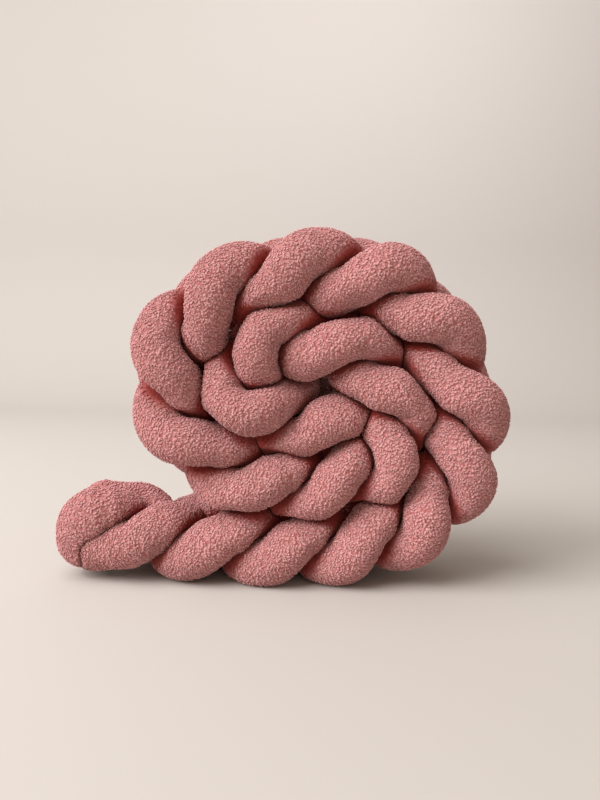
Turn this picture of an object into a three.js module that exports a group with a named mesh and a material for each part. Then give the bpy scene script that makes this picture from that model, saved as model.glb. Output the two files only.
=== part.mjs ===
// A braided crib bumper, rolled up and stood on its edge: three stuffed tubes of looped-pile cloth,
// plaited together and wound into a flat spiral, with the outer end lying out along the floor.
// Millimetres, +Z up. The roll's axis lies along Y, the braid's near edge faces -Y, and it stands on Z = 0.

import * as THREE from "three";

// Driving sizes
const TUBE_RADIUS = 31.3; // a stuffed tube where nothing presses on it
const EDGE_REACH = 47; // from the braid's middle plane to a tube's middle line at either edge
const LAYER_SWING = 23; // how far a tube's middle line passes over or under the braid's middle surface
const LOOPS_A_ROUND = 3; // near loops in the length that one tube takes from edge to edge and back
const CLOTH_GAP = 1.5; // between two tubes that press on each other
const MOST_BULGE = 1.25; // how much a pressed tube may swell on its free sides
const EDGE_AREA = 1.05; // share of its free section that a tube swells back to at the braid's edges
const CORE_AREA = 0.85; // and half way between them
const EDGE_CONTACT = 2.7; // power of the pressed rim at the braid's edges: a low one keeps the tubes round
const CORE_CONTACT = 8; // and half way between them, where the tubes are packed tight
const END_CONTACT = 5; // and at the inner ends
const OVER_SHIFT = 20; // where two tubes press, the one further out keeps more of its round

// How the stuffed tubes settle against each other before they are pressed
const SETTLE_APART = 56; // middle lines closer than this push each other apart
const SETTLE_ROUNDS = 40;
const SETTLE_SHARE = 0.175; // share of what is missing that a stretch moves in a round
const SETTLE_BLEND = 28; // length of tube that moves together
const SETTLE_SMOOTH = 22; // length over which the settled lines are smoothed
const PULLED_IN = 0.88; // share of its width that the settled braid keeps when the plait is drawn tight
const SETTLE_BACK = 0.04; // share of its move that a stretch gives back in a round
const EDGE_BACK = 0.25; // and as much more, up, down and sideways, at the braid's edges
const TAIL_STAYS = 90; // length of tube at the tail that does not move

// Fineness of the solids
const SIDES = 15;
const RING_STEP = 14;
const CONTACT_STEP = 7;
const WEAVE_STEP = 0.1; // in loops
const SAMPLES_A_SPAN = 12;
const DOME_ANGLES = [66, 33]; // degrees from the tube's own cross-section, a ring at each
const BULGE_ROUNDS = 6;
const BULGE_BLEND = 1; // rings on each side that share a swelling
const SELF_CLEAR = 3.6 * TUBE_RADIUS; // a tube doesn't press on its own stretch nearer than this
const PRESS_RANGE = 3.2 * TUBE_RADIUS; // middle lines further apart than this can't press on each other

// The loops that turn over the braid's near edge, from the tail to the middle of the roll: x and z of the
// braid's middle surface there, and the share of LAYER_SWING. The first row is loop number FIRST_LOOP.
const FIRST_LOOP = -1;
const LOOPS = [
  { x: -333, z: 82, swing: 1 },
  { x: -243, z: 70, swing: 1 },
  { x: -179, z: 52, swing: 0.45 },
  { x: -94, z: 43, swing: 0.75 },
  { x: 4, z: 40, swing: 1 },
  { x: 92, z: 52.5, swing: 1 },
  { x: 175, z: 90, swing: 1 },
  { x: 216, z: 160, swing: 1 },
  { x: 211, z: 240, swing: 1 },
  { x: 164, z: 330, swing: 1 },
  { x: 93, z: 374, swing: 1 },
  { x: 2, z: 375, swing: 1 },
  { x: -91, z: 341, swing: 1 },
  { x: -141, z: 266, swing: 1 },
  { x: -110, z: 176, swing: 1 },
  { x: -25, z: 125, swing: 1 },
  { x: 60, z: 126, swing: 1 },
  { x: 139, z: 163, swing: 1 },
  { x: 124, z: 244, swing: 1 },
  { x: 61, z: 299, swing: 1 },
  { x: -37, z: 291, swing: 0.9 },
  { x: -49, z: 209, swing: 1 },
  { x: 40, z: 196, swing: 0.85 },
  { x: 86, z: 238, swing: 1 },
  { x: 60, z: 290, swing: 1 },
];

// Each tube: the loop numbers between which it is plaited, and the points of its middle line outside them.
// The three tails swell into one round end with creases that fade, and the inner ends lie one behind another.
// size is the share of TUBE_RADIUS, and contact the power of the pressed rim.
const TUBES = [
  {
    name: "stuffed_tube_1",
    firstLoop: 0.6,
    tail: [
      { x: -245, y: -30, z: 48, size: 1.3, contact: 40 },
      { x: -241, y: -33, z: 66, size: 1.4, contact: 24 },
      { x: -226, y: -38, z: 80, size: 1.18, contact: 10 },
    ],
    lastLoop: 20.9,
    inner: [
      { x: 56, y: -44, z: 202, size: 1, contact: END_CONTACT },
      { x: 77, y: -36, z: 208, size: 1, contact: END_CONTACT },
      { x: 92, y: -17, z: 216, size: 1, contact: END_CONTACT },
      { x: 95, y: 6, z: 224, size: 1, contact: END_CONTACT },
    ],
  },
  {
    name: "stuffed_tube_2",
    firstLoop: 0.9,
    tail: [
      { x: -231, y: -32, z: 45, size: 1.3, contact: 40 },
      { x: -207, y: -40, z: 45, size: 1.12, contact: 14 },
    ],
    lastLoop: 20.9,
    inner: [{ x: 50, y: 30, z: 214, size: 1, contact: END_CONTACT }],
  },
  {
    name: "stuffed_tube_3",
    firstLoop: 1.15,
    tail: [
      { x: -230, y: 6, z: 74, size: 1.35, contact: 14 },
      { x: -211, y: 16, z: 75, size: 1.12, contact: 9 },
      { x: -191, y: 26, z: 71, size: 1.03, contact: 6 },
    ],
    lastLoop: 20.45,
    inner: [
      { x: 18, y: -12, z: 236, size: 1, contact: END_CONTACT },
      { x: 32, y: 10, z: 242, size: 1, contact: END_CONTACT },
      { x: 44, y: 24, z: 250, size: 1, contact: END_CONTACT },
    ],
  },
];

const BOUCLE_PINK = { color: 0xc98a8b, roughness: 0.95, metalness: 0 };
const { clamp, lerp, degToRad } = THREE.MathUtils;
const ACROSS = new THREE.Vector3(0, 1, 0); // along the roll's axis, from the near edge to the far one
const ROLL = new THREE.CatmullRomCurve3(
  LOOPS.map((loop) => new THREE.Vector3(loop.x, loop.swing, loop.z)),
  false,
  "catmullrom",
);

// A tube's middle line at one loop number: it crosses from edge to edge and back in three loops,
// and passes over and under the braid's middle surface twice in that length.
function weavePoint(tube, loop) {
  const share = (loop - FIRST_LOOP) / (LOOPS.length - 1);
  const middle = ROLL.getPoint(share);
  const swing = middle.y * LAYER_SWING;
  const along = ROLL.getTangent(share).setY(0).normalize();
  const outward = new THREE.Vector3(along.z, 0, -along.x);
  const turn = (2 * Math.PI * (loop - tube)) / LOOPS_A_ROUND;
  return middle
    .setY(-EDGE_REACH * Math.cos(turn))
    .addScaledVector(outward, -swing * Math.sin(2 * turn));
}

// A tube's middle line from tail to inner end: points, with the distance, size and contact at each
function middleLine(tube, number) {
  const steps = Math.round((tube.lastLoop - tube.firstLoop) / WEAVE_STEP);
  const woven = Array.from({ length: steps + 1 }, (_, i) => {
    const { x, y, z } = weavePoint(number, lerp(tube.firstLoop, tube.lastLoop, i / steps));
    const edge = clamp((Math.abs(y) / EDGE_REACH - 0.35) / 0.5, 0, 1);
    return { x, y, z, size: 1, contact: lerp(CORE_CONTACT, EDGE_CONTACT, edge) };
  });
  const knots = [...tube.tail, ...woven, ...tube.inner];
  const curve = new THREE.CatmullRomCurve3(knots.map((knot) => new THREE.Vector3(knot.x, knot.y, knot.z)));
  const spans = knots.length - 1;
  const stations = Array.from({ length: spans * SAMPLES_A_SPAN + 1 }, (_, i) => {
    const span = Math.min(Math.floor(i / SAMPLES_A_SPAN), spans - 1);
    const part = i / SAMPLES_A_SPAN - span;
    return {
      point: curve.getPoint(i / SAMPLES_A_SPAN / spans),
      size: lerp(knots[span].size, knots[span + 1].size, part),
      contact: lerp(knots[span].contact, knots[span + 1].contact, part),
    };
  });
  return measured(stations);
}

// A line's stations with the distance along the line to each
function measured(stations) {
  let distance = 0;
  return stations.map((station, i) => {
    if (i) distance += station.point.distanceTo(stations[i - 1].point);
    return { ...station, distance };
  });
}

// The middle line at one distance from its tail end
function stationAt(stations, distance) {
  const reach = Math.min(distance, stations.at(-1).distance);
  const next = Math.max(1, stations.findIndex((station) => station.distance >= reach));
  const low = stations[next - 1];
  const high = stations[next];
  const part = (reach - low.distance) / (high.distance - low.distance);
  return {
    point: low.point.clone().lerp(high.point, part),
    distance,
    size: lerp(low.size, high.size, part),
    contact: lerp(low.contact, high.contact, part),
  };
}

// Stations of a middle line at even distances of about the step asked for
function evenStations(stations, step) {
  const length = stations.at(-1).distance;
  const count = Math.round(length / step);
  return Array.from({ length: count + 1 }, (_, i) => stationAt(stations, (length * i) / count));
}

// Vectors at a line's stations, each averaged with its neighbours by a bell curve of the length given
function blendAlong(stations, vectors, length) {
  return stations.map((station) => {
    const sum = new THREE.Vector3();
    let weights = 0;
    stations.forEach((other, i) => {
      const weight = Math.exp(-0.5 * ((other.distance - station.distance) / length) ** 2);
      sum.addScaledVector(vectors[i], weight);
      weights += weight;
    });
    return sum.divideScalar(weights);
  });
}

// How a station is pushed in a round by the stretches that lie too close: by a share of what is missing
// to the nearest one, in the mean direction from all of them
function settlePush(number, station, here, lines, places) {
  const push = new THREE.Vector3();
  const apart = new THREE.Vector3();
  let weights = 0;
  let most = 0;
  lines.forEach((line, other) => {
    line.forEach((press, i) => {
      if (other === number && Math.abs(press.distance - station.distance) < SELF_CLEAR) return;
      const missing = SETTLE_APART - apart.subVectors(here, places[other][i]).length();
      if (missing <= 0) return;
      push.addScaledVector(apart.normalize(), missing * missing);
      weights += missing * missing;
      most = Math.max(most, missing);
    });
  });
  return weights ? push.multiplyScalar((SETTLE_SHARE * most) / weights) : push;
}

// The middle lines after the tubes have settled: in each round every station is pushed, drawn back a little,
// lifted off the floor, and moved along with its neighbours. The tail stays as it is.
function settledLines(lines) {
  let moves = lines.map((line) => line.map(() => new THREE.Vector3()));
  const moved = () =>
    lines.map((line, number) => line.map(({ point }, i) => point.clone().add(moves[number][i])));
  for (let round = 0; round < SETTLE_ROUNDS; round++) {
    const places = moved();
    moves = lines.map((line, number) => {
      const wanted = line.map((station, i) => {
        const { point } = station;
        const move = settlePush(number, station, places[number][i], lines, places).add(moves[number][i]);
        const edge = clamp((Math.abs(point.y) / EDGE_REACH - 0.33) / 0.55, 0, 1);
        const level = 1 - SETTLE_BACK - EDGE_BACK * edge;
        move.multiply(new THREE.Vector3(level, 1 - SETTLE_BACK, level));
        return move.setZ(move.z + 0.5 * Math.max(TUBE_RADIUS - point.z - move.z, 0));
      });
      return blendAlong(line, wanted, SETTLE_BLEND).map((move, i) =>
        move.multiplyScalar(clamp(line[i].distance / TAIL_STAYS - 1, 0, 1)),
      );
    });
  }
  const places = moved();
  return lines.map((line, number) => {
    const smooth = blendAlong(line, places[number], SETTLE_SMOOTH);
    const stations = line.map((station, i) => {
      const end = Math.min(station.distance, line.at(-1).distance - station.distance);
      const share = clamp(end / TAIL_STAYS - 0.5, 0, 1);
      const point = places[number][i].lerp(smooth[i], share);
      return { ...station, point: point.setY(point.y * PULLED_IN) };
    });
    return measured(stations);
  });
}

// How far a ray may leave a tube's middle before it comes to the surface that divides it from another
// stretch, less half the gap. That surface lies nearer to the tube closer to the braid's middle plane.
function pressLimits(number, station, rays, lines) {
  const limits = rays.map(() => Infinity);
  const apart = new THREE.Vector3();
  lines.forEach((line, other) => {
    for (const press of line) {
      if (other === number && Math.abs(press.distance - station.distance) < SELF_CLEAR) continue;
      const far = apart.subVectors(press.point, station.point).lengthSq();
      if (far > PRESS_RANGE * PRESS_RANGE) continue;
      const outer = OVER_SHIFT * (Math.abs(station.point.y) - Math.abs(press.point.y));
      const reach = Math.max(far + outer - CLOTH_GAP * CLOTH_GAP, 0.2 * far);
      rays.forEach((ray, i) => {
        const facing = CLOTH_GAP + ray.dot(apart);
        if (facing > 0) limits[i] = Math.min(limits[i], reach / (2 * facing));
      });
    }
  });
  return limits;
}

// One ring of a tube: rays from its middle, tipped along the tube by an angle at the domed ends
function makeRing(number, station, along, tip, lines) {
  const side = ACROSS.clone().addScaledVector(along, -ACROSS.dot(along)).normalize();
  const over = new THREE.Vector3().crossVectors(along, side);
  const rays = Array.from({ length: SIDES }, (_, i) => {
    const angle = (2 * Math.PI * i) / SIDES;
    const spoke = side.clone().multiplyScalar(Math.cos(angle)).addScaledVector(over, Math.sin(angle));
    return spoke.multiplyScalar(Math.cos(tip)).addScaledVector(along, Math.sin(tip));
  });
  return {
    station,
    rays,
    limits: pressLimits(number, station, rays, lines),
    floors: rays.map((ray) => (ray.z < 0 ? station.point.z / -ray.z : Infinity)),
  };
}

// All rings of a tube, from the dome at its tail to the dome at its inner end
function tubeRings(number, stations, lines) {
  const length = stations.at(-1).distance;
  const alongAt = (distance) => {
    const after = stationAt(stations, Math.min(distance + CONTACT_STEP, length)).point;
    return after.sub(stationAt(stations, Math.max(distance - CONTACT_STEP, 0)).point).normalize();
  };
  const dome = (distance, angles) =>
    angles.map((angle) => ({ distance, tip: degToRad(angle) }));
  const body = evenStations(stations, RING_STEP).map((station) => ({ distance: station.distance, tip: 0 }));
  const places = [
    ...dome(0, DOME_ANGLES.map((angle) => -angle)),
    ...body,
    ...dome(length, [...DOME_ANGLES].reverse()),
  ];
  return places.map(({ distance, tip }) =>
    makeRing(number, stationAt(stations, distance), alongAt(distance), tip, lines),
  );
}

// A soft minimum of the free radius and the pressed one, cut off flat at the floor
function ringRadii(ring, bulge) {
  const power = ring.station.contact;
  const free = (TUBE_RADIUS * ring.station.size * bulge) ** -power;
  return ring.limits.map((limit, i) => Math.min((free + limit ** -power) ** (-1 / power), ring.floors[i]));
}

// How much each ring swells on its free sides to hold the filling that is pressed out of its flat ones
function swellings(rings) {
  let bulges = rings.map(() => 1);
  for (let round = 0; round < BULGE_ROUNDS; round++) {
    const wanted = rings.map((ring, i) => {
      if (ring.station.size > 1.03) return 1;
      const squares = ringRadii(ring, bulges[i]).reduce((sum, radius) => sum + radius * radius, 0);
      const area = lerp(CORE_AREA, EDGE_AREA, Math.min(Math.abs(ring.station.point.y) / EDGE_REACH, 1));
      const free = TUBE_RADIUS * ring.station.size;
      return clamp(bulges[i] * free * Math.sqrt((area * SIDES) / squares), 1, MOST_BULGE);
    });
    bulges = wanted.map((_, i) => {
      const shared = wanted.slice(Math.max(i - BULGE_BLEND, 0), i + BULGE_BLEND + 1);
      return shared.reduce((sum, bulge) => sum + bulge, 0) / shared.length;
    });
  }
  return bulges;
}

// One closed skin: rings of points, and a pole in the middle of each end
function tubeGeometry(number, stations, lines) {
  const rings = tubeRings(number, stations, lines);
  const bulges = swellings(rings);
  const skin = rings.flatMap((ring, k) =>
    ringRadii(ring, bulges[k]).map((radius, i) => {
      const point = ring.station.point.clone().addScaledVector(ring.rays[i], radius);
      return point.setZ(Math.max(point.z, 0));
    }),
  );
  const last = rings.length - 1;
  const at = (ring, side) => ring * SIDES + (side % SIDES);
  const faces = [];
  for (let side = 0; side < SIDES; side++) {
    faces.push(skin.length, at(0, side + 1), at(0, side));
    faces.push(skin.length + 1, at(last, side), at(last, side + 1));
    for (let ring = 0; ring < last; ring++) {
      faces.push(at(ring, side), at(ring, side + 1), at(ring + 1, side + 1));
      faces.push(at(ring, side), at(ring + 1, side + 1), at(ring + 1, side));
    }
  }
  for (const end of [0, last]) {
    const rim = skin.slice(at(end, 0), at(end, 0) + SIDES);
    skin.push(rim.reduce((sum, point) => sum.add(point), new THREE.Vector3()).divideScalar(SIDES));
  }
  const geometry = new THREE.BufferGeometry().setFromPoints(skin);
  geometry.setIndex(faces);
  geometry.computeVertexNormals();
  return geometry;
}

const bumper = new THREE.Group();
const plaited = TUBES.map((tube, number) => evenStations(middleLine(tube, number), CONTACT_STEP));
const lines = settledLines(plaited);
TUBES.forEach((tube, number) => {
  const geometry = tubeGeometry(number, lines[number], lines);
  const mesh = new THREE.Mesh(geometry, new THREE.MeshStandardMaterial(BOUCLE_PINK));
  mesh.name = tube.name;
  bumper.add(mesh);
});

// The frame's origin lies on the floor under the middle of the part's box
const middle = new THREE.Box3().setFromObject(bumper).getCenter(new THREE.Vector3());
bumper.children.forEach((mesh) => mesh.geometry.translate(-middle.x, -middle.y, 0));

export default bumper;
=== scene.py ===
"""Looks of a braided crib bumper, rolled up and stood on its edge: three stuffed tubes of looped-pile cloth,
plaited flat and wound into a spiral, with the outer end lying out along the floor. Sizes in the tables are
millimetres in the roll's own frame; every mesh is made in metres in the part's frame."""
import math

import bpy
import numpy as np
from mathutils import Matrix, Vector


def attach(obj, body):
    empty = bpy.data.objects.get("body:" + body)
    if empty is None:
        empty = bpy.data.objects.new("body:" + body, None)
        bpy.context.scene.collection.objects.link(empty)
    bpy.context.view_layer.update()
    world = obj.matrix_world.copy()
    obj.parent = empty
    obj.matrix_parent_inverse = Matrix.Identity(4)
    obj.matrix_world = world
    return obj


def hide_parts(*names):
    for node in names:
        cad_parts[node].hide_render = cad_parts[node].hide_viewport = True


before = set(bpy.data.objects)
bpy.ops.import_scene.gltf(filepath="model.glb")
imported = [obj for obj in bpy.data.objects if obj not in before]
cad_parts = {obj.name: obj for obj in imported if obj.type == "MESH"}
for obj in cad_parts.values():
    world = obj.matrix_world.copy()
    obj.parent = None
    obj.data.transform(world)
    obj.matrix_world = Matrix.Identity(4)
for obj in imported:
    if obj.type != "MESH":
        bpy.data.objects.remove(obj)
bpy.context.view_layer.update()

MM = 0.001
ROLL_SHIFT = np.array([3.16, -2.01, 0.0])  # from the roll's own frame to the middle of the part's box
RANDOM = np.random.default_rng(3)

# Driving sizes of the braid, as in the part's solids. Only the values of area and contact differ: rounder at
# the edges and tighter between them, because the backing lies a pile's depth inside the solids.
TUBE_RADIUS = 31.3  # a stuffed tube with its pile, where nothing presses on it
EDGE_REACH = 47.0  # from the braid's middle plane to a tube's middle line at either edge
LAYER_SWING = 23.0  # how far a tube's middle line passes over or under the braid's middle surface
MOST_BULGE = 1.25  # how much a pressed tube may swell on its free sides
EDGE_AREA, CORE_AREA = 1.07, 0.9  # share of its free section that a pressed tube swells back to
EDGE_CONTACT = 2.3  # power of the pressed rim at the braid's edges: a low one keeps the tubes round
CORE_CONTACT = 20.0  # and between the edges, where the tubes are packed tight
OVER_SHIFT = 20.0  # where two tubes press, the one further out from the middle plane keeps more of its round
EDGE_FROM, EDGE_RAMP = 0.35, 0.5  # shares of EDGE_REACH where the edge begins, and over which it comes in
LOOPS_A_ROUND = 3  # loops from one turn of a tube over the near edge to its next
SELF_CLEAR = 3.6 * TUBE_RADIUS  # length of its own tube that a station does not press on
PRESS_RANGE = 3.2 * TUBE_RADIUS  # middles further off than this do not press
CONTACT_STEP = 7.0  # between two stations
LEAST_SHARE = 0.2  # share of a squared distance that OVER_SHIFT leaves at least
NO_LIMIT = 1e6  # for a ray that nothing presses on
RINGS_AT_ONCE = 40  # so that the tables of distances stay small
SWELL_BLEND = 40.0  # length of tube that shares a swelling
SWELL_ROUNDS = 6
STIFF_SIZE = 1.03  # sizes over this, at the tail, do not swell
SPAN_POINTS = 12  # points of a middle line from one knot to the next

# How the stuffed tubes settle against each other before they are pressed
SETTLE_APART = 56.0  # middle lines closer than this push each other apart
SETTLE_ROUNDS = 40
SETTLE_SHARE = 0.175  # share of what is missing to the nearest station that a round makes good
FLOOR_SHARE = 0.5  # and of what a station is too low
SETTLE_BLEND = 28.0  # length of tube that moves together
SETTLE_SMOOTH = 22.0  # length over which the settled lines are smoothed
PULLED_IN = 0.88  # share of its width that the settled braid keeps when the plait is drawn tight
SETTLE_BACK = 0.04  # share of its move that a station gives back in a round
TAIL_STAYS = 90.0  # length of tube at the tail that does not move
EDGE_BACK = 0.25  # and as much more, up, down and sideways, where it shows at the braid's edges
BACK_FROM, BACK_RAMP = 0.33, 0.55  # shares of EDGE_REACH where that begins, and over which it comes in

# The cloth: a dense pile of yarn loops on a stretchy backing
PILE_DEPTH = 2.0  # from the backing to the crowns of most loops
CLOTH_GAP = 0.2  # between two backings that press on each other, with flattened pile in between
RINGS, SIDES = 640, 64
DOME_TIPS = np.radians([84, 72, 58, 44, 29, 14])
CURLS_A_TUBE = 33000
CURL_LENGTH, CURL_WIDTH = 4.4, 3.0
CURL_SIZES, CURL_STRETCHES = (0.75, 1.3), (0.7, 1.3)  # shares of both, and of the length alone
CURL_RISES, FLANK_RISES = (0.4, 0.85), (0.1, 0.6)  # shares of PILE_DEPTH, and of the rise
CURL_DRIFT = 0.7  # spread of the crowns beside the line from tip to tip
TIP_PLAY = (-0.4, 0.3)  # from the backing to the tips
# Painted highlight and shade on each loop: the crown is painted palest and the tips darkest
CURL_LIFTS = [0.15, 0.45, 1.0, 0.45, 0.15]  # how pale a tip, flank, crown, flank and tip are
LEAST_ROOM = 1.2  # loops stand up where the next cloth is further off than this
SEWN_LENGTH = 55.0  # stretch of the tail where the tubes are sewn together and the pile covers the seam
SEWN_END = 1.3  # the cover fades out at this many times SEWN_LENGTH
CREASE_ROOM = 5.0  # less room in front than this: painted shade, for the shade of the next tube's pile

# The loops that turn over the braid's near edge, from the tail to the middle of the roll:
# x and z of the braid's middle surface, and the share of LAYER_SWING. The first row is loop FIRST_LOOP.
# As in the part's solids, but for loop 19, which lies about 4 mm further up and left.
FIRST_LOOP = -1
LOOPS = np.array([
    (-333, 82, 1), (-243, 70, 1), (-179, 52, 0.45), (-94, 43, 0.75), (4, 40, 1), (92, 52.5, 1), (175, 90, 1),
    (216, 160, 1), (211, 240, 1), (164, 330, 1), (93, 374, 1), (2, 375, 1), (-91, 341, 1), (-141, 266, 1),
    (-110, 176, 1), (-25, 125, 1), (60, 126, 1), (139, 163, 1), (124, 244, 1), (61, 299, 1), (-40, 294, 0.95),
    (-49, 209, 1), (40, 196, 0.85), (86, 238, 1), (60, 290, 1)], float)

# Each tube: the loops between which it is plaited, and the points of its middle line outside them, as
# x, y, z, size (share of TUBE_RADIUS) and contact (power of the pressed rim). As in the part's solids, but
# for the inner ends of tubes 2 and 3, which leave the dark opening in the middle of the roll.
TUBES = [
    dict(node="stuffed_tube_1", first=0.6, last=20.9,
         tail=[(-245, -30, 48, 1.3, 40), (-241, -33, 66, 1.4, 24), (-226, -38, 80, 1.18, 10)],
         inner=[(56, -44, 202, 1, 5), (77, -36, 208, 1, 5), (92, -17, 216, 1, 5), (95, 6, 224, 1, 5)]),
    dict(node="stuffed_tube_2", first=0.9, last=20.9,
         tail=[(-231, -32, 45, 1.3, 40), (-207, -40, 45, 1.12, 14)],
         inner=[(50, 32, 214, 1, 5), (54, 38, 238, 1, 5), (50, 40, 252, 1, 5)]),
    dict(node="stuffed_tube_3", first=1.15, last=20.2,
         tail=[(-230, 6, 74, 1.35, 14), (-211, 16, 75, 1.12, 9), (-191, 26, 71, 1.03, 6)],
         inner=[(-8, -6, 222, 1, 5), (2, 18, 230, 1, 5), (10, 36, 238, 1, 5)]),
]


def unit(rows):
    """Each row divided by its own length."""
    return rows / np.maximum(np.linalg.norm(rows, axis=-1, keepdims=True), 1e-9)


def smooth_through(rows, place):
    """A cubic through the rows of a table, whose slope at a row is half the step from the row before to the
    row after. Gives the values and the slopes at row numbers with fractions."""
    place = np.clip(place, 0, len(rows) - 1 - 1e-9)
    rows = np.vstack([2 * rows[0] - rows[1], rows, 2 * rows[-1] - rows[-2]])
    i = place.astype(int)
    t = (place - i)[:, None]
    a, b, c, d = (rows[i + k] for k in range(4))
    lead, trail = (c - a) / 2, (d - b) / 2
    value = ((2 * t**3 - 3 * t**2 + 1) * b + (t**3 - 2 * t**2 + t) * lead
             + (3 * t**2 - 2 * t**3) * c + (t**3 - t**2) * trail)
    slope = (6 * t**2 - 6 * t) * (b - c) + (3 * t**2 - 4 * t + 1) * lead + (3 * t**2 - 2 * t) * trail
    return value, slope


def plaited(number, loop):
    """A tube's middle line in the plait: it swings from edge to edge as a cosine of the loop number, once in
    three loops, and over and under the middle surface as a sine of twice that angle."""
    middle, slope = smooth_through(LOOPS, loop - FIRST_LOOP)
    along = unit(slope[:, :2])
    turn = 2 * np.pi * (loop - number) / LOOPS_A_ROUND
    lift = -LAYER_SWING * middle[:, 2] * np.sin(2 * turn)
    return np.stack([middle[:, 0] + along[:, 1] * lift, -EDGE_REACH * np.cos(turn),
                     middle[:, 1] - along[:, 0] * lift], 1)


def middle_line(number):
    """A tube's whole middle line: tail points, plaited points every tenth of a loop and inner points, joined
    by a centripetal cubic (knots spaced by the root of their distance). Columns x, y, z, size, contact."""
    tube = TUBES[number]
    woven = plaited(number, np.arange(tube["first"], tube["last"] + 1e-6, 0.1))
    edge = np.clip((np.abs(woven[:, 1:2]) / EDGE_REACH - EDGE_FROM) / EDGE_RAMP, 0, 1)
    woven = np.hstack([woven, np.ones_like(edge), CORE_CONTACT + (EDGE_CONTACT - CORE_CONTACT) * edge])
    knots = np.vstack([np.array(tube["tail"], float), woven, np.array(tube["inner"], float)])
    p = np.vstack([2 * knots[0] - knots[1], knots, 2 * knots[-1] - knots[-2]])[:, :3]
    at = np.concatenate([[0], np.cumsum(np.sqrt(np.linalg.norm(np.diff(p, axis=0), axis=1)))])
    spans, share = len(knots) - 1, np.linspace(0, 1, SPAN_POINTS, endpoint=False)[None, :, None]
    t0, t1, t2, t3 = (at[k:k + spans, None, None] for k in range(4))
    p0, p1, p2, p3 = (p[k:k + spans, None] for k in range(4))
    t = t1 + (t2 - t1) * share

    def mix(low, high, a, b):
        return ((high - t) * a + (t - low) * b) / (high - low)

    a1, a2, a3 = mix(t0, t1, p0, p1), mix(t1, t2, p1, p2), mix(t2, t3, p2, p3)
    curve = mix(t1, t2, mix(t0, t2, a1, a2), mix(t1, t3, a2, a3))
    rest = knots[:-1, None, 3:] * (1 - share) + knots[1:, None, 3:] * share
    return np.vstack([np.concatenate([curve, rest], 2).reshape(-1, 5), knots[-1:]])


def even_stations(line, count):
    """A line resampled at even distances along it: distances, and the line's columns at each."""
    far = np.concatenate([[0], np.cumsum(np.linalg.norm(np.diff(line[:, :3], axis=0), axis=1))])
    at = np.linspace(0, far[-1], count)
    return at, np.stack([np.interp(at, far, column) for column in line.T], 1)


def settled_lines():
    """The three middle lines after the stuffed tubes have settled against each other: stations along each
    tube, as distances and columns. In a round each station moves by SETTLE_SHARE of what is missing from
    SETTLE_APART to the nearest station of another stretch. It moves in the mean direction away from all that
    are too close, weighted by the square of what is missing. It is then drawn back a little (more so up, down
    and sideways at the braid's edges), lifted off the floor, and evened out along its tube by a bell curve.
    The tail stays as it is. At the end the lines are smoothed and the braid is drawn narrower."""
    lines = []
    for number in range(len(TUBES)):
        line = middle_line(number)
        length = np.linalg.norm(np.diff(line[:, :3], axis=0), axis=1).sum()
        lines.append(even_stations(line, int(round(length / CONTACT_STEP)) + 1))
    start = np.vstack([line for _, line in lines])[:, :3]
    far_at = np.concatenate([at for at, _ in lines])
    owner = np.repeat(np.arange(len(lines)), [len(at) for at, _ in lines])
    mine = owner[:, None] == owner[None]
    along = far_at[:, None] - far_at[None]
    free = ~(mine & (np.abs(along) < SELF_CLEAR))
    bell = np.where(mine, np.exp(-0.5 * (along / SETTLE_BLEND)**2), 0)
    bell /= bell.sum(1, keepdims=True)
    edge = np.clip((np.abs(start[:, 1:2]) / EDGE_REACH - BACK_FROM) / BACK_RAMP, 0, 1)
    back = SETTLE_BACK + EDGE_BACK * edge * np.array([1, 0, 1])
    give = np.clip((far_at[:, None] - TAIL_STAYS) / TAIL_STAYS, 0, 1)
    move = np.zeros_like(start)
    for _ in range(SETTLE_ROUNDS):
        now = start + move
        apart = now[:, None] - now[None]
        far = np.linalg.norm(apart, axis=2) + 1e-9
        close = np.where(free, np.maximum(SETTLE_APART - far, 0), 0)
        push = np.einsum("ij,ijk->ik", close**2 / far, apart) / np.maximum((close**2).sum(1), 1e-9)[:, None]
        move = (move + SETTLE_SHARE * push * close.max(1)[:, None]) * (1 - back)
        move[:, 2] += FLOOR_SHARE * np.maximum(TUBE_RADIUS - start[:, 2] - move[:, 2], 0)
        move = give * (bell @ move)
    ends = np.concatenate([np.minimum(at, at[-1] - at) for at, _ in lines])[:, None]
    smooth = np.where(mine, np.exp(-0.5 * (along / SETTLE_SMOOTH)**2), 0)
    smooth = smooth @ (start + move) / smooth.sum(1, keepdims=True)
    now = start + move + (smooth - start - move) * np.clip(ends / TAIL_STAYS - 0.5, 0, 1)
    now[:, 1] *= PULLED_IN
    settled = []
    for number, (at, line) in enumerate(lines):
        line[:, :3] = now[owner == number]
        steps = np.linalg.norm(np.diff(line[:, :3], axis=0), axis=1)
        settled.append((np.concatenate([[0], np.cumsum(steps)]), line))
    return settled


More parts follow.
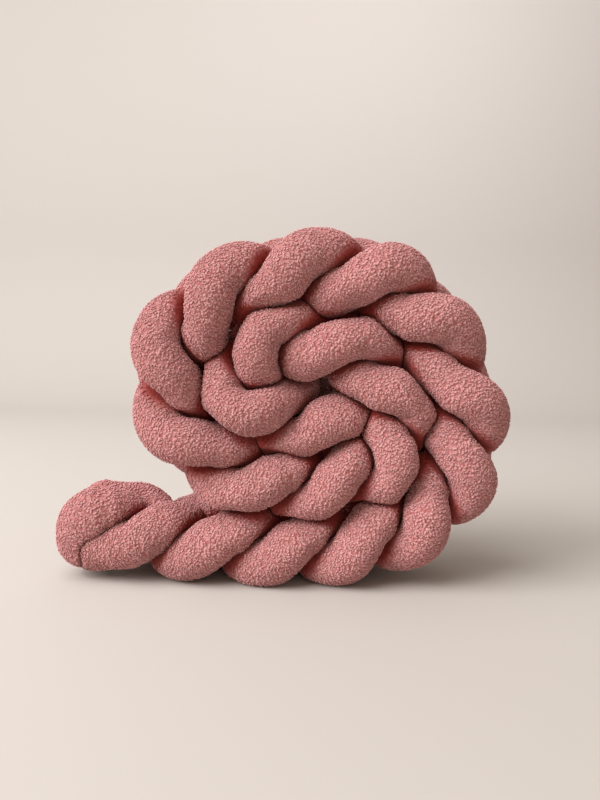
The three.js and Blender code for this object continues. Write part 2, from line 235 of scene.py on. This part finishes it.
def press_limits(number, at, middles, rays, lines, gap):
    """How far each ray may leave its middle before it comes within half the gap of another stretch's side of
    the dividing surface: (distance squared less gap squared) over twice (gap plus the ray's reach towards the
    other middle), the least over all the middles near enough to press. The dividing surface moves towards the
    tube that lies nearer to the braid's middle plane, so that the outer one lies over it."""
    presses = np.vstack([line for _, line in lines])[:, :3]
    far_at = np.concatenate([distance for distance, _ in lines])
    owner = np.repeat(np.arange(len(lines)), [len(line) for _, line in lines])
    limits = []
    for k in range(0, len(middles), RINGS_AT_ONCE):
        part = slice(k, k + RINGS_AT_ONCE)
        apart = presses[None] - middles[part, None]
        far = (apart**2).sum(2)
        own = (owner[None] == number) & (np.abs(far_at[None] - at[part, None]) < SELF_CLEAR)
        facing = gap + rays[part] @ apart.transpose(0, 2, 1)
        outer = OVER_SHIFT * (np.abs(middles[part, None, 1]) - np.abs(presses[None, :, 1]))
        shut = ((far > PRESS_RANGE**2) | own)[:, None] | (facing < 1e-6)
        reach = np.maximum(far + outer - gap**2, LEAST_SHARE * far)[:, None] / (2 * np.maximum(facing, 1e-6))
        limits.append(np.where(shut, NO_LIMIT, reach).min(2))
    return np.vstack(limits)


def stuffing(at, angle):
    """Unevenness of the filling: a few long waves round and along the tube, in millimetres."""
    waves = [(0.35, 118, 1), (0.3, 83, 2), (0.25, 61, -1), (0.2, 47, 2), (0.15, 36, -3), (0.12, 29, 3)]
    phase = RANDOM.uniform(0, 2 * np.pi, len(waves))
    return sum(size * np.sin(2 * np.pi * at[:, None] / length + turns * angle[None] + start)
               for (size, length, turns), start in zip(waves, phase))


def tube_skin(number, lines):
    """A tube's backing as rings of points with a fan of rings over each end. The radius of each ray is a soft
    minimum (sum of negative powers) of the free radius and the pressed one, cut off flat at the floor. A ring
    swells on its free sides until its area is back, and shares the swelling with its neighbours. Gives the
    points and the room that each has in front of it."""
    at, line = lines[number]
    line, along = smooth_through(np.column_stack([line, at]), np.linspace(0, len(at) - 1, RINGS))
    at, along = line[:, 5], unit(along[:, :3])
    side = unit(np.array([0, 1.0, 0]) - along * along[:, 1:2])
    over = np.cross(along, side)
    tips = len(DOME_TIPS)
    pick = np.concatenate([np.zeros(tips, int), np.arange(RINGS), np.full(tips, RINGS - 1)])
    tip = np.concatenate([-DOME_TIPS, np.zeros(RINGS), DOME_TIPS[::-1]])[:, None, None]
    angle = np.arange(SIDES) * 2 * np.pi / SIDES
    turn = angle[None, :, None]
    rays = np.cos(turn) * side[pick, None] + np.sin(turn) * over[pick, None]
    rays = rays * np.cos(tip) + along[pick, None] * np.sin(tip)
    middles, size, power = line[pick, :3], line[pick, 3], line[pick, 4:5]
    limits = press_limits(number, at[pick], middles, rays, lines, CLOTH_GAP)
    down = np.maximum(-rays[..., 2], 1e-6)
    floors = np.where(rays[..., 2] < -1e-6, (middles[:, 2:] - PILE_DEPTH) / down, NO_LIMIT)
    free = (TUBE_RADIUS - PILE_DEPTH) * size
    swell = np.ones(len(pick))
    kept = CORE_AREA - (CORE_AREA - EDGE_AREA) * np.minimum(np.abs(middles[:, 1]) / EDGE_REACH, 1)
    blend = 2 * int(SWELL_BLEND / at[1] / 2) + 1
    for _ in range(SWELL_ROUNDS):
        radius = np.minimum(((free * swell)[:, None]**-power + limits**-power)**(-1 / power), floors)
        wanted = swell * free * np.sqrt(kept / (radius**2).mean(1))
        swell = np.where(size > STIFF_SIZE, 1, np.clip(wanted, 1, MOST_BULGE))
        swell = np.convolve(np.pad(swell, blend // 2, mode="edge"), np.ones(blend) / blend, "valid")
    loose = (free * swell)[:, None] + stuffing(at[pick], angle)
    radius = np.minimum((loose**-power + limits**-power)**(-1 / power), floors)
    # Near the tail the room is raised, so loops stand over the seam and the painted crease shade fades out
    sewn = np.clip(SEWN_END - at[pick] / SEWN_LENGTH, 0, 1)[:, None]
    return middles[:, None] + rays * radius[..., None], limits - radius + CREASE_ROOM * sewn


def skin_normals(skin):
    """Unit normals of a ring grid: the step round each ring crossed with the step from ring to ring."""
    return unit(np.cross(np.roll(skin, -1, 1) - np.roll(skin, 1, 1), np.gradient(skin, axis=0)))


def new_mesh(name, points, faces, attributes):
    """Points in the roll's frame (mm) and faces of one corner count become a smooth mesh in metres."""
    mesh = bpy.data.meshes.new(name)
    mesh.vertices.add(len(points))
    mesh.vertices.foreach_set("co", ((points + ROLL_SHIFT) * MM).astype(np.float32).ravel())
    corners = np.concatenate([face.ravel() for face in faces]).astype(np.int32)
    counts = np.concatenate([np.full(len(face), face.shape[1]) for face in faces])
    mesh.loops.add(len(corners))
    mesh.loops.foreach_set("vertex_index", corners)
    mesh.polygons.add(len(counts))
    mesh.polygons.foreach_set("loop_start", np.concatenate([[0], np.cumsum(counts)[:-1]]).astype(np.int32))
    mesh.polygons.foreach_set("use_smooth", np.ones(len(counts), bool))
    mesh.update(calc_edges=True)
    for key, values in attributes.items():
        column = mesh.attributes.new(key, "FLOAT", "POINT").data
        column.foreach_set("value", values.astype(np.float32).ravel())
    piece = bpy.data.objects.new(name, mesh)
    bpy.context.scene.collection.objects.link(piece)
    return piece


def backing_piece(name, skin, room):
    """The skin as one closed mesh: quads between rings, and a fan to a pole at each end."""
    rings, sides = skin.shape[:2]
    grid = np.arange(rings * sides).reshape(rings, sides)
    low, high = grid[:-1], grid[1:]
    quads = np.stack([low, np.roll(low, -1, 1), np.roll(high, -1, 1), high], -1).reshape(-1, 4)
    first, last = np.full(sides, rings * sides), np.full(sides, rings * sides + 1)
    fans = np.vstack([np.stack([first, np.roll(grid[0], -1), grid[0]], 1),
                      np.stack([last, grid[-1], np.roll(grid[-1], -1)], 1)])
    points = np.vstack([skin.reshape(-1, 3), skin[0].mean(0), skin[-1].mean(0)])
    flat = np.zeros(len(points))
    # The room in front of each point, for the painted crease shade
    shade = np.clip(np.concatenate([room.ravel(), [room[0].mean(), room[-1].mean()]]) / CREASE_ROOM, 0, 1)
    return new_mesh(name, points, [quads, fans], dict(lift=flat, tone=flat + 0.5, open=shade))


def curl_piece(name, skin, room, count):
    """Yarn loops standing where the skin has room for them, as one mesh of small crescents. The cells' areas
    are added up ring by ring, and even steps of the total, each with some play, pick the places, so that the
    loops lie evenly. A crescent is a triangle of two flanks and a crown between two tips at the backing. Its
    direction, size, height and tilt vary at random."""
    normal = skin_normals(skin)
    east, north = np.roll(skin, -1, 1)[:-1] - skin[1:], np.roll(skin, -1, 1)[1:] - skin[:-1]
    area = np.linalg.norm(np.cross(east, north), axis=2) / 2 * (room[:-1] > LEAST_ROOM)
    total = np.cumsum(area.ravel())
    aim = (np.arange(count) + RANDOM.uniform(0.1, 0.9, count)) * total[-1] / count
    cell = np.minimum(np.searchsorted(total, aim, "right"), total.size - 1)
    i, j = np.divmod(cell, SIDES)
    u = np.clip(1 - (total[cell] - aim) / np.maximum(area.ravel()[cell], 1e-9), 0, 1)[:, None]
    v = RANDOM.uniform(0, 1, (count, 1))
    k = (j + 1) % SIDES

    def on_grid(field):
        low, high = (field[r, j] * (1 - u) + field[r, k] * u for r in (i, i + 1))
        return low * (1 - v) + high * v

    place, up = on_grid(skin), unit(on_grid(normal))
    first = unit(np.cross(up, RANDOM.normal(size=(count, 3))))
    second = np.cross(up, first)
    size = RANDOM.uniform(*CURL_SIZES, (count, 1))
    long = CURL_LENGTH / 2 * size * RANDOM.uniform(*CURL_STRETCHES, (count, 1))
    wide = CURL_WIDTH / 2 * size
    rise = np.minimum(PILE_DEPTH * RANDOM.uniform(*CURL_RISES, (count, 1)), room[i, j][:, None])
    heart = place + second * RANDOM.normal(0, CURL_DRIFT, (count, 1))
    play = RANDOM.uniform(*TIP_PLAY, (2, count, 1))
    flank = rise * RANDOM.uniform(*FLANK_RISES, (2, count, 1))
    points = np.stack([place - first * long + up * play[0], heart + second * wide + up * flank[0],
                       heart + up * rise, heart - second * wide + up * flank[1],
                       place + first * long + up * play[1]], 1)
    points[..., 2] = np.maximum(points[..., 2], 0)
    around = np.array([(1, 2), (2, 3), (3, 1)])
    star = np.vstack([np.insert(around, 0, 0, 1), np.insert(around[:, ::-1], 0, 4, 1)])
    faces = (np.arange(count)[:, None, None] * 5 + star).reshape(-1, 3)
    lift = np.tile(CURL_LIFTS, count)
    tone = np.repeat(RANDOM.uniform(0, 1, count), 5)
    # The room in front of each loop, for the painted crease shade
    shade = np.repeat(np.clip(room[i, j] / CREASE_ROOM, 0, 1), 5)
    return new_mesh(name, points.reshape(-1, 3), [faces], dict(lift=lift, tone=tone, open=shade))


def linear(code):
    """An sRGB hex colour as linear red, green, blue and full alpha."""
    share = np.array([int(code[k:k + 2], 16) for k in (1, 3, 5)]) / 255
    return (*np.where(share <= 0.04045, share / 12.92, ((share + 0.055) / 1.055)**2.4), 1.0)


def add(tree, kind, settings=None, **links):
    """One node with its settings. Links name an input, with underscores for spaces or an underscore before
    its number, and give a value or a socket."""
    node = tree.nodes.new(kind)
    for key, value in (settings or {}).items():
        setattr(node, key, value)
    for key, value in links.items():
        socket = node.inputs[int(key[1:])] if key[0] == "_" else node.inputs[key.replace("_", " ")]
        if isinstance(value, bpy.types.NodeSocket):
            tree.links.new(value, socket)
        else:
            socket.default_value = value
    return node


def boucle_cloth():
    """Boucle: a knitted backing covered with small uneven loops of wool-like yarn. The crowns of the loops
    are painted pale as a painted highlight, the pits between them deep pink as painted shade, the pile closed
    in between two tubes deep red as painted crease shade, and loose fibres give the edges a soft bloom."""
    material = bpy.data.materials.new("dusty_pink_boucle")
    material.use_nodes = True
    tree = material.node_tree
    tree.nodes.clear()
    place = add(tree, "ShaderNodeTexCoord").outputs["Object"]
    lift = add(tree, "ShaderNodeAttribute", dict(attribute_name="lift")).outputs["Fac"]
    tone = add(tree, "ShaderNodeAttribute", dict(attribute_name="tone")).outputs["Fac"]
    open_pile = add(tree, "ShaderNodeAttribute", dict(attribute_name="open")).outputs["Fac"]
    # Patches of about 45 mm where the pile lies a little differently
    patch = add(tree, "ShaderNodeTexNoise", Vector=place, Scale=1 / 0.045, Detail=2.0, Roughness=0.5)
    # Tight loops of about 3.5 mm between the standing ones, for the bumps and for painted shade in their pits
    tight = add(tree, "ShaderNodeTexVoronoi", dict(feature="SMOOTH_F1"), Vector=place, Scale=1 / 0.0035,
                Smoothness=0.35, Randomness=1.0)
    dome = add(tree, "ShaderNodeMapRange", Value=tight.outputs["Distance"], From_Min=0.1, From_Max=0.75,
               To_Min=0.75, To_Max=0.0)
    height = add(tree, "ShaderNodeMath", dict(operation="MAXIMUM"), _0=dome.outputs["Result"], _1=lift)
    # Fibres of about 0.6 mm on the loops
    fibre = add(tree, "ShaderNodeTexNoise", Vector=place, Scale=1 / 0.0006, Detail=2.0, Roughness=0.6)
    # Painted highlight and shade: pale where the loops stand high, deep pink in the low pits
    painted_pit_to_crown = add(tree, "ShaderNodeMix", dict(data_type="RGBA"), _0=height.outputs["Value"],
                       _6=linear("#b66f6d"), _7=linear("#e2b0af"))
    yarn = add(tree, "ShaderNodeMix", dict(data_type="RGBA", blend_type="MULTIPLY"), _0=tone,
               _6=painted_pit_to_crown.outputs[2], _7=linear("#ebe0de"))
    lying = add(tree, "ShaderNodeMapRange", Value=patch.outputs["Fac"], From_Min=0.3, From_Max=0.7,
                To_Min=0.93, To_Max=1.05)
    laid = add(tree, "ShaderNodeMix", dict(data_type="RGBA", blend_type="MULTIPLY"), _0=1.0,
               _6=yarn.outputs[2], _7=lying.outputs["Result"])
    # Painted shade: pile closed in between two tubes sees only other pile, so it is painted deep red
    closed = add(tree, "ShaderNodeMapRange", Value=open_pile, From_Min=0.0, From_Max=1.0, To_Min=1.0,
                 To_Max=0.0)
    shade = add(tree, "ShaderNodeMix", dict(data_type="RGBA", blend_type="MULTIPLY"),
                _0=closed.outputs["Result"], _6=laid.outputs[2], _7=linear("#d87c6e"))
    domed = add(tree, "ShaderNodeBump", Strength=0.3, Distance=0.0015, Height=dome.outputs["Result"])
    bump = add(tree, "ShaderNodeBump", Strength=0.25, Distance=0.0004, Height=fibre.outputs["Fac"],
               Normal=domed.outputs["Normal"])
    shader = add(tree, "ShaderNodeBsdfPrincipled", Base_Color=shade.outputs[2], Roughness=0.92,
                 Diffuse_Roughness=0.9, IOR=1.45, Specular_IOR_Level=0.1, Sheen_Weight=0.3,
                 Sheen_Roughness=0.4, Sheen_Tint=linear("#f7cfcb"), Normal=bump.outputs["Normal"])
    add(tree, "ShaderNodeOutputMaterial", Surface=shader.outputs["BSDF"])
    return material


def stage_floor():
    """A wide, flat, pale floor that bends up far behind the part, in a quarter circle, into a backdrop."""
    half, start, radius, top = 6, 1.6, 0.8, 4
    bend = np.radians(np.linspace(0, 90, 13))
    y = np.concatenate([[-half], start + radius * np.sin(bend), [start + radius]])
    z = np.concatenate([[0], radius - radius * np.cos(bend), [top]])
    points = [(x, float(b), float(c)) for b, c in zip(y, z) for x in (-half, half)]
    faces = [(k, k + 1, k + 3, k + 2) for k in range(0, len(points) - 2, 2)]
    mesh = bpy.data.meshes.new("floor")
    mesh.from_pydata(points, [], faces)
    mesh.shade_smooth()
    floor = bpy.data.objects.new("floor", mesh)
    bpy.context.scene.collection.objects.link(floor)
    paint = bpy.data.materials.new("matt_floor_paint")
    paint.use_nodes = True
    paint.node_tree.nodes.clear()
    shader = add(paint.node_tree, "ShaderNodeBsdfPrincipled", Base_Color=linear("#b6b0a9"), Roughness=0.8)
    add(paint.node_tree, "ShaderNodeOutputMaterial", Surface=shader.outputs["BSDF"])
    mesh.materials.append(paint)


def soft_light(name, place, aim, side, power, colour):
    """A square soft light at a place, turned to a point; metres and watts."""
    lamp = bpy.data.lights.new(name, "AREA")
    lamp.size, lamp.energy, lamp.color = side, power, linear(colour)[:3]
    light = bpy.data.objects.new(name, lamp)
    light.location = place
    light.rotation_euler = (Vector(aim) - Vector(place)).to_track_quat("-Z", "Y").to_euler()
    bpy.context.scene.collection.objects.link(light)


def camera():
    """The photograph's view: 5.7 degrees down along +Y, rolled by 1.2 degrees, with a focal length of 610 in
    a picture 800 pixels high."""
    down, roll = math.radians(5.7), math.radians(1.2)
    ahead = Vector((0, math.cos(down), -math.sin(down)))
    level, upright = Vector((1, 0, 0)), Vector((0, math.sin(down), math.cos(down)))
    right = math.cos(roll) * level + math.sin(roll) * upright
    up = math.cos(roll) * upright - math.sin(roll) * level
    lens = bpy.data.cameras.new("camera")
    focal, high, sensor = 610, 800, 36
    lens.sensor_width, lens.lens = sensor, focal / high * sensor
    eye = bpy.data.objects.new("camera", lens)
    matrix = Matrix((right, up, -ahead)).transposed().to_4x4()
    place = np.array([18, -777, 302])
    matrix.translation = Vector(place + ROLL_SHIFT) * MM
    eye.matrix_world = matrix
    bpy.context.scene.collection.objects.link(eye)
    bpy.context.scene.camera = eye


def studio():
    """Warm light from a pale room, a large soft key from the front left and above, a wide panel overhead, a
    very weak fill from the right, and a wash that faces away from the part and lights the backdrop alone."""
    world = bpy.data.worlds.new("pale_room")
    bpy.context.scene.world = world
    world.use_nodes = True
    sky = world.node_tree.nodes["Background"]
    sky.inputs["Color"].default_value = linear("#e6dbcb")
    sky.inputs["Strength"].default_value = 0.58
    part, backdrop = (0, 0, 0.2), (0.9, 2.4, 1.3)
    soft_light("key", (-3.1, -1.55, 2.4), part, 2.4, 200, "#fdfcff")
    soft_light("panel", (-1.2, -0.8, 2.8), part, 2.6, 75, "#fdfcff")
    soft_light("fill", (1.4, -1.3, 0.7), part, 1.6, 1, "#f4f6ff")
    soft_light("wash", (0.7, 0.9, 2.2), backdrop, 1.6, 19, "#f6f4ff")
    bpy.context.scene.view_settings.view_transform = "Standard"


camera()
studio()
stage_floor()
cloth = boucle_cloth()
press_lines = settled_lines()
for number, tube in enumerate(TUBES):
    skin, room = tube_skin(number, press_lines)
    backing = backing_piece(tube["node"] + "_backing", skin, room)
    curls = curl_piece(tube["node"] + "_loops", skin, room, CURLS_A_TUBE)
    for piece in (backing, curls):
        piece.data.materials.append(cloth)
        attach(piece, "root")
    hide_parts(tube["node"])
